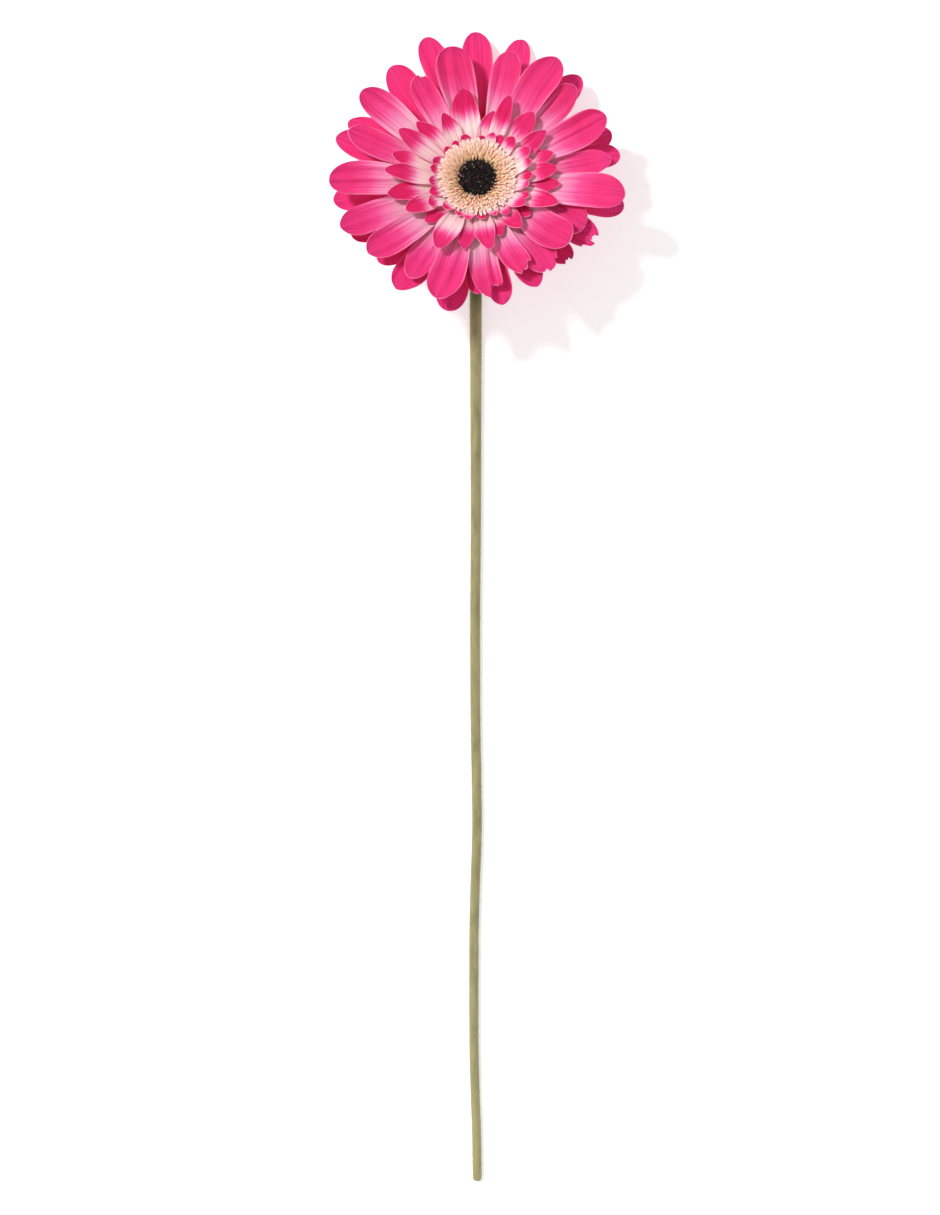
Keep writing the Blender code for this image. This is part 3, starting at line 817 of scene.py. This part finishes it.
def petal_dye_and_painted_shade(finish, stops, foot_shift):
    """The dye along a petal, with its streaks, veins and pale margin, and darker towards the tip on some
    petals; given the back row's stops it also paints the shade that the front row casts. Returns the colour
    and the veins.
    """
    uv = node(finish, "ShaderNodeUVMap", {}, uv_map="UVMap").outputs["UV"]
    split = node(finish, "ShaderNodeSeparateXYZ", {"Vector": uv})
    across, along = split.outputs["X"], split.outputs["Y"]
    tone, pale, fade = (attribute(finish, name) for name in ("tone", "pale", "fade"))
    own_place = calc(finish, "MULTIPLY", tone, 37.0)
    lengthways = calc(finish, "MULTIPLY_ADD", along, 0.9, own_place)
    lines = []
    for to_the_width, detail, roughness in ((13.0, 2.0, 0.6), (52.0, 1.0, 0.5)):
        sideways = calc(finish, "MULTIPLY_ADD", across, to_the_width, own_place)
        grain = node(finish, "ShaderNodeCombineXYZ", {"X": sideways, "Y": lengthways}).outputs["Vector"]
        lines.append(noise(finish, grain, 1.0, detail, roughness))
    streaks, veins = lines
    margin = attribute(finish, "margin")
    reach = calc(finish, "SUBTRACT", along, calc(finish, "ADD", pale, foot_shift))
    reach = calc(finish, "ADD", reach, calc(finish, "MULTIPLY_ADD", streaks, 0.22, -0.11))
    reach = calc(finish, "SUBTRACT", reach, spread(finish, margin, 0.3, 1.0, 0.0, 0.05))
    reach = calc(finish, "MULTIPLY_ADD", reach, fade, 0.5)
    colour = ramp(finish, reach, stops)
    colour = tint(finish, spread(finish, tone, 0.0, 1.0, 0.0, 0.22), colour, LIGHTER_PETAL)
    streaked = spread(finish, streaks, 0.45, 0.75, 0.0, 0.5)
    colour = tint(finish, streaked, colour, PETAL_STREAKS, "MULTIPLY")
    veined = spread(finish, veins, 0.4, 0.75, 0.0, 0.32)
    colour = tint(finish, veined, colour, PETAL_VEINS, "MULTIPLY")
    below_tip = spread(finish, along, 0.7, 0.92, 1.0, 0.0)
    pale_edge = calc(finish, "MULTIPLY", below_tip, spread(finish, margin, 0.88, 1.0, 0.0, 0.5))
    colour = tint(finish, pale_edge, colour, PALE_PETAL_EDGE)
    near_tip = spread(finish, along, 0.86, 1.0, 0.0, 0.5)
    dark_tip = calc(finish, "MULTIPLY", near_tip, spread(finish, streaks, 0.4, 0.65))
    colour = tint(finish, dark_tip, colour, DARK_PETAL_TIP)
    return colour, veins


# The dye from foot to tip: on the faces of the front row, of the back row, whose deep crimson below
# mid-length is painted shade from the front row above it, and of the two short rows, and underneath.
LONG_PETAL_STOPS = (
    (0.0, (0.85, 0.67, 0.71)), (0.25, (0.86, 0.55, 0.65)), (0.5, (0.84, 0.27, 0.48)),
    (0.72, (0.78, 0.078, 0.27)), (1.0, (0.71, 0.032, 0.17)),
)
# Painted shade: the back row's salmon foot turns deep crimson where the front row shades it, then pink again
# towards the tip.
BACK_PETAL_SHADE_STOPS = (
    (0.0, (0.84, 0.36, 0.34)), (0.2, (0.64, 0.05, 0.08)), (0.42, (0.60, 0.012, 0.06)),
    (0.62, (0.72, 0.035, 0.18)), (1.0, (0.74, 0.032, 0.185)),
)
PALE_PETAL_STOPS = (
    (0.0, (0.93, 0.76, 0.71)), (0.3, (0.92, 0.60, 0.65)), (0.52, (0.86, 0.24, 0.45)),
    (0.74, (0.78, 0.045, 0.21)), (1.0, (0.68, 0.016, 0.125)),
)
UNDERSIDE_STOPS = (
    (0.0, (0.82, 0.50, 0.48)), (0.35, (0.78, 0.26, 0.36)), (0.65, (0.72, 0.10, 0.24)),
    (1.0, (0.64, 0.045, 0.17)),
)

petal_finishes = {}
for name, stops, shift in (
    ("long petal face", LONG_PETAL_STOPS, 0.0),
    ("back petal face with painted shade", BACK_PETAL_SHADE_STOPS, 0.0),
    ("pale petal face", PALE_PETAL_STOPS, 0.0),
    ("petal underside", UNDERSIDE_STOPS, 0.1),
):
    finish = new_finish(
        name, roughness=0.62, specular_ior_level=0.1, subsurface_weight=0.3, subsurface_scale=0.7 * MM,
        subsurface_radius=(1.0, 0.3, 0.35),
    )
    colour, veins = petal_dye_and_painted_shade(finish, stops, shift)
    rough = spread(finish, veins, 0.3, 0.7, 0.55, 0.68)
    wire(finish, base_color=colour, roughness=rough, normal=bump(finish, veins, 0.07 * MM))
    petal_finishes[name] = finish

petal_edge = new_finish("petal edge", roughness=0.65, specular_ior_level=0.1)
mottle = noise(petal_edge, object_place(petal_edge), 260.0)
colour = ramp(petal_edge, mottle, ((0.3, (0.86, 0.11, 0.29)), (0.7, (0.93, 0.28, 0.45))))
wire(petal_edge, base_color=colour)

rows = (
    ("petals_back_row", "back_petals", "petals", "back petal face with painted shade", BACK, BACK_PETALS, BACK_TIPS, {}),
    (
        "petals_front_row", "front_petals", "petals", "long petal face", FRONT, FRONT_PETALS, FRONT_TIPS,
        FRONT_FEET,
    ),
    ("petals_short_row", "short_petals", "pale_petals", "pale petal face", SHORT, SHORT_PETALS, {}, {}),
    ("petals_inner_row", "inner_petals", "pale_petals", "pale petal face", INNER, INNER_PETALS, {}, {}),
)
for name, solid, slot, face, whorl, places, tips, feet in rows:
    row = row_of_petals(name, whorl, places, tips, feet, face)
    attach(row, "root")
    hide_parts(solid)


# Fringe. Rows of short cream florets stand round the disc on a shallow dish, packed close. Each is a soft
# flat strap that leans outwards, a little hollow, with a round or slightly parted tip.

# Radius and height of each ring of the dish, in millimetres, from below.
DISH_PROFILE = (
    (0.2, 7.5), (9.0, 7.5), (11.4, 9.2), (13.4, 10.5), (14.9, 11.4), (15.2, 11.7), (14.9, 11.9),
    (13.6, 11.8), (12.0, 11.3), (10.2, 10.4), (8.8, 9.3), (8.0, 8.7), (0.1, 8.7),
)
# Each row: how many, its roots' radius and height, its tips' radius and height, and its straps' width, in
# millimetres.
STRAP_ROWS = (
    (40, 8.0, 9.2, 8.6, 11.6, 0.85), (46, 8.5, 9.8, 9.9, 12.5, 0.9), (50, 9.4, 10.3, 11.3, 13.0, 0.95),
    (54, 10.4, 10.8, 12.6, 13.3, 1.0), (60, 11.5, 11.2, 13.9, 13.4, 1.05), (64, 12.6, 11.5, 15.2, 13.2, 1.1),
    (66, 13.8, 11.7, 16.4, 12.8, 1.2), (60, 14.6, 11.6, 17.4, 12.4, 1.3),
)
# A strap's thickness as a share of its width, and how deep its root is sunk, in millimetres.
STRAP_THICKNESS = 0.22
ROOT_SUNK = 0.3
# The bow, hollow and parted tip of each form of strap, as shares of its size.
STRAP_FORMS = ((-0.5, 0.2, 0.0), (0.1, 0.3, 0.12), (-0.8, 0.25, 0.0), (-0.3, 0.3, 0.08), (-1.0, 0.15, 0.1))
# The straps' colours from the disc's side outwards, at their tips and at their feet, whose darker orange is
# painted shade down between the packed straps, and their pink clouds.
STRAP_TIP_STOPS = (
    (0.0, (0.94, 0.63, 0.36)), (0.35, (0.96, 0.65, 0.44)), (0.7, (0.96, 0.66, 0.52)),
    (1.0, (0.97, 0.70, 0.64)),
)
STRAP_SHADED_FOOT_STOPS = ((0.0, (0.78, 0.38, 0.18)), (0.6, (0.88, 0.38, 0.26)), (1.0, (0.93, 0.44, 0.40)))
STRAP_CLOUD = (0.95, 0.56, 0.46, 1.0)


def strap(bow, hollow, parting):
    """A flat strap one unit long and wide with a round tip, standing along Z, its hollow face towards X."""
    bpy.ops.object.select_all(action="DESELECT")
    bpy.ops.mesh.primitive_grid_add(x_subdivisions=2, y_subdivisions=7, size=2.0)
    blade = bpy.context.object
    for vertex in blade.data.vertices:
        side = vertex.co.x
        share = math.sin(0.25 * math.pi * (vertex.co.y + 1))
        half = 0.5 * (0.75 + 0.25 * math.sin(math.pi * share))
        if share > 0.8:
            half *= math.sqrt(max(0.04, 1 - ((share - 0.8) / 0.2) ** 2))
        notch = parting * max(0.0, 1 - 1.6 * abs(side)) * smooth_step(0.7, 1.0, share)
        front = bow * share**2 + hollow * (side**2 - 0.4) * math.sin(math.pi * share)
        vertex.co = (front, half * side, share - notch)
    thicken(blade, STRAP_THICKNESS)
    return blade


def strap_places(draw):
    """Where every strap stands and its tone, which runs from the disc's side outwards."""
    places = []
    tones = []
    for row, (count, root_radius, root_height, tip_radius, tip_height, width) in enumerate(STRAP_ROWS):
        for place in range(count):
            clock = 2 * math.pi * (place + 0.5 * (row % 2) + draw.uniform(-0.3, 0.3)) / count
            swerve = clock + draw.uniform(-0.035, 0.035)
            root = (outward_at(clock) * root_radius + upward * (root_height - ROOT_SUNK)) * MM
            tip_reach = tip_radius + draw.uniform(-0.7, 0.6)
            tip_rise = tip_height + draw.uniform(-0.5, 0.4)
            tip = (outward_at(swerve) * tip_reach + upward * tip_rise) * MM
            along = tip - root
            sideways = Vector((math.cos(clock), -math.sin(clock), 0.0)) * draw.uniform(-0.5, 0.5)
            facing = upward + sideways
            size = width * draw.uniform(0.8, 1.15) * MM
            places.append(head_place @ standing(root, along, facing, size, along.length))
            outwards = row / (len(STRAP_ROWS) - 1)
            tones.append(min(1.0, max(0.0, outwards + draw.uniform(-0.2, 0.2))))
    return places, tones


fringe_finish = new_finish(
    "cream fringe", roughness=0.7, specular_ior_level=0.25, subsurface_weight=0.5, subsurface_scale=0.8 * MM,
    subsurface_radius=(1.0, 0.6, 0.4),
)
place = object_place(fringe_finish)
mottle = noise(fringe_finish, place, 900.0)
cloud = noise(fringe_finish, place, 90.0)
tone = attribute(fringe_finish, "tone")
height = attribute(fringe_finish, "height")
tips = ramp(fringe_finish, tone, STRAP_TIP_STOPS)
# Painted shade: the straps are darker orange low down, easing to cream at their tips with height.
feet = ramp(fringe_finish, tone, STRAP_SHADED_FOOT_STOPS)
colour = tint(fringe_finish, spread(fringe_finish, height, 0.15, 0.75), feet, tips)
colour = tint(fringe_finish, spread(fringe_finish, cloud, 0.45, 0.7, 0.0, 0.35), colour, STRAP_CLOUD)
wire(fringe_finish, base_color=colour, normal=bump(fringe_finish, mottle, 0.03 * MM))

dish = turned_up("dish", DISH_PROFILE, 72)
dish.data.transform(head_place)
# The dish between the straps takes a colour halfway between their painted-shade feet and their tips.
give_attribute(dish.data, "tone", [0.6] * len(dish.data.vertices))
give_attribute(dish.data, "height", [0.5] * len(dish.data.vertices))
strap_spots, tones = strap_places(random.Random(41))
groups = [dish]
step = len(STRAP_FORMS)
for number, (bow, hollow, parting) in enumerate(STRAP_FORMS):
    form = strap(bow, hollow, parting)
    groups.append(set_out("straps", form, strap_spots[number::step], tones[number::step]))
    bpy.data.objects.remove(form, do_unlink=True)
for group in groups:
    group.data.materials.append(fringe_finish)
fringe = join("cream_fringe", groups)
bpy.ops.object.shade_smooth_by_angle(angle=math.radians(60))
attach(fringe, "root")
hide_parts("fringe")


# Disc. The dark middle of the flower: a low dome of tightly packed, nearly black florets set in a spiral,
# with specks of pale pollen, longer dark tips round the rim and some cream tufts on its near side.

# Radius and height of each ring of the dome, in millimetres, from below.
DOME_PROFILE = (
    (6.9, 8.8), (7.6, 9.1), (7.7, 9.6), (7.3, 10.2), (6.3, 10.7), (4.9, 11.1), (3.2, 11.4), (1.6, 11.5),
    (0.1, 11.5),
)
# The florets' feet lie on a dome of this radius, between the heights of its rim and its top, in millimetres.
DISC_RADIUS = 7.9
DISC_RIM = 9.6
DISC_TOP = 11.5
FLORETS = 330
GOLDEN_ANGLE = math.radians(137.508)
RIM_TIPS = 46
RIM_TIP_WIDTH = 1.7 * MM
SPECKS = 16
SPECK_HEIGHT = 0.95 * MM
# The cream tufts, and where they stand round the rim, in clock degrees.
CREAM_TUFTS = 6
CREAM_TUFT_SIDE = (180, 204)
# A floret and a rim tip, as the middle and radius of each ring from the foot up, for one unit of length.
FLORET_RINGS = (
    (0, 0, -0.3, 0.34), (0.02, 0, 0.2, 0.44), (0, 0.03, 0.6, 0.4), (0.05, 0, 0.85, 0.26),
    (0.02, 0, 1.0, 0.08),
)
TIP_RINGS = ((0, 0, -0.1, 0.2), (0.03, 0, 0.4, 0.16), (0.0, 0.02, 0.75, 0.1), (0.04, 0, 1.0, 0.03))
FLORET_STOPS = (
    (0.0, (0.006, 0.004, 0.005)), (0.6, (0.014, 0.008, 0.009)), (0.9, (0.04, 0.018, 0.017)),
    (1.0, (0.09, 0.05, 0.045)),
)
POLLEN_STOPS = ((0.3, (0.72, 0.60, 0.50)), (0.7, (0.92, 0.84, 0.76)))
# The side that every floret turns its front to.
FLORET_FACING = Vector((1.0, 0.2, 0.1))


def dome_place(angle, clock):
    """A point of the dome and the way it faces, at an angle down from its top."""
    outward = outward_at(clock)
    foot = outward * DISC_RADIUS * math.sin(angle)
    foot.z = DISC_RIM + (DISC_TOP - DISC_RIM) * math.cos(angle)
    lean = outward * math.sin(0.7 * angle) + upward * math.cos(0.7 * angle)
    return foot * MM, lean.normalized()


disc_finish = new_finish("dark florets", roughness=0.6, specular_ior_level=0.25)
mottle = noise(disc_finish, object_place(disc_finish), 900.0)
colour = ramp(disc_finish, attribute(disc_finish, "tone"), FLORET_STOPS)
wire(disc_finish, base_color=colour, normal=bump(disc_finish, mottle, 0.1 * MM))
pollen_finish = new_finish("pale pollen", roughness=0.6)
mottle = noise(pollen_finish, object_place(pollen_finish), 800.0)
wire(pollen_finish, base_color=ramp(pollen_finish, mottle, POLLEN_STOPS))

dome = turned_up("dome", DOME_PROFILE, 48)
dome.data.transform(head_place)
give_attribute(dome.data, "tone", [0.1] * len(dome.data.vertices))
draw = random.Random(51)
floret = tube("floret", FLORET_RINGS, 1)
tip = tube("tip", TIP_RINGS, 0)
places = []
for number in range(FLORETS):
    angle = math.asin(math.sqrt((number + 0.5) / FLORETS))
    foot, lean = dome_place(angle, number * GOLDEN_ANGLE)
    lean += 0.3 * Vector([draw.uniform(-1, 1) for _ in range(3)])
    width = draw.uniform(0.7, 1.1) * MM
    length = draw.uniform(0.6, 1.45) * MM
    places.append(head_place @ standing(foot, lean, FLORET_FACING, width, length))
florets = set_out("florets", floret, places, [draw.random() for _ in places])
places = []
for number in range(RIM_TIPS):
    clock = 2 * math.pi * (number + draw.uniform(-0.3, 0.3)) / RIM_TIPS
    foot, lean = dome_place(math.radians(84), clock)
    lean += 0.35 * Vector([draw.uniform(-1, 1) for _ in range(3)])
    longer = 1.5 if math.cos(clock) > 0.3 else 0.8
    length = longer * draw.uniform(0.9, 1.6) * MM
    places.append(head_place @ standing(foot, lean, FLORET_FACING, RIM_TIP_WIDTH, length))
rim_tips = set_out("rim_tips", tip, places, [draw.uniform(0.0, 0.8) for _ in places])
places = []
for number in range(SPECKS):
    foot, lean = dome_place(math.asin(math.sqrt(draw.uniform(0.02, 0.8))), draw.uniform(0, 2 * math.pi))
    foot += lean * SPECK_HEIGHT
    size = draw.uniform(0.22, 0.4) * MM
    places.append(head_place @ standing(foot, lean, FLORET_FACING, size, size))
for number in range(CREAM_TUFTS):
    clock = math.radians(draw.uniform(*CREAM_TUFT_SIDE))
    foot, lean = dome_place(math.radians(88), clock)
    foot += lean * 0.4 * MM
    size = draw.uniform(0.9, 1.5) * MM
    places.append(head_place @ standing(foot, lean, FLORET_FACING, 0.6 * size, size))
specks = set_out("specks", floret, places, [draw.random() for _ in places])
for template in (floret, tip):
    bpy.data.objects.remove(template, do_unlink=True)
for part in (dome, florets, rim_tips):
    part.data.materials.append(disc_finish)
specks.data.materials.append(pollen_finish)
disc = join("dark_disc", [dome, florets, rim_tips, specks])
bpy.ops.object.shade_smooth_by_angle(angle=math.radians(50))
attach(disc, "root")
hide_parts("disc")


# Floor, light and camera. The flower lies on a plain pale floor under a soft key light from the upper left,
# and the camera looks down on it from high above, leaning a little towards the head.

FLOOR_SIZE = 12.0
FLOOR_BELOW = 0.05 * MM
FLOOR_GLOW = 0.4
KEY_STRENGTH = 2.25
KEY_SOFTNESS = math.radians(7)
TOWARDS_KEY = Vector((-0.44, 0.42, 0.79))
SURROUND_STRENGTH = 0.63
CAMERA_LENS = 150
CAMERA_LEAN = math.radians(8)
CAMERA_FROM_HEAD = Vector((-3.0, 125.1, 2216.5)) * MM

bpy.ops.object.select_all(action="DESELECT")
bpy.ops.mesh.primitive_plane_add(size=FLOOR_SIZE, location=(0.0, 0.0, -FLOOR_BELOW))
floor = bpy.context.object
floor.name = "floor"
floor_finish = new_finish(
    "pale floor", base_color=(0.85, 0.85, 0.85, 1.0), roughness=0.85, emission_color=(1.0, 1.0, 1.0, 1.0),
    emission_strength=FLOOR_GLOW,
)
floor.data.materials.append(floor_finish)

bpy.ops.object.light_add(type="SUN", location=(-1.0, 0.8, 1.5))
key = bpy.context.object
key.name = "key light"
key.data.energy = KEY_STRENGTH
key.data.angle = KEY_SOFTNESS
key.rotation_euler = TOWARDS_KEY.to_track_quat("Z", "Y").to_euler()

world = bpy.data.worlds.new("soft surround")
bpy.context.scene.world = world
world.use_nodes = True
surround = world.node_tree.nodes["Background"]
surround.inputs["Color"].default_value = (1.0, 1.0, 1.0, 1.0)
surround.inputs["Strength"].default_value = SURROUND_STRENGTH

bpy.ops.object.camera_add(location=head_centre + CAMERA_FROM_HEAD, rotation=(-CAMERA_LEAN, 0.0, 0.0))
camera = bpy.context.object
camera.data.lens = CAMERA_LENS
bpy.context.scene.camera = camera
bpy.context.scene.view_settings.view_transform = "Standard"
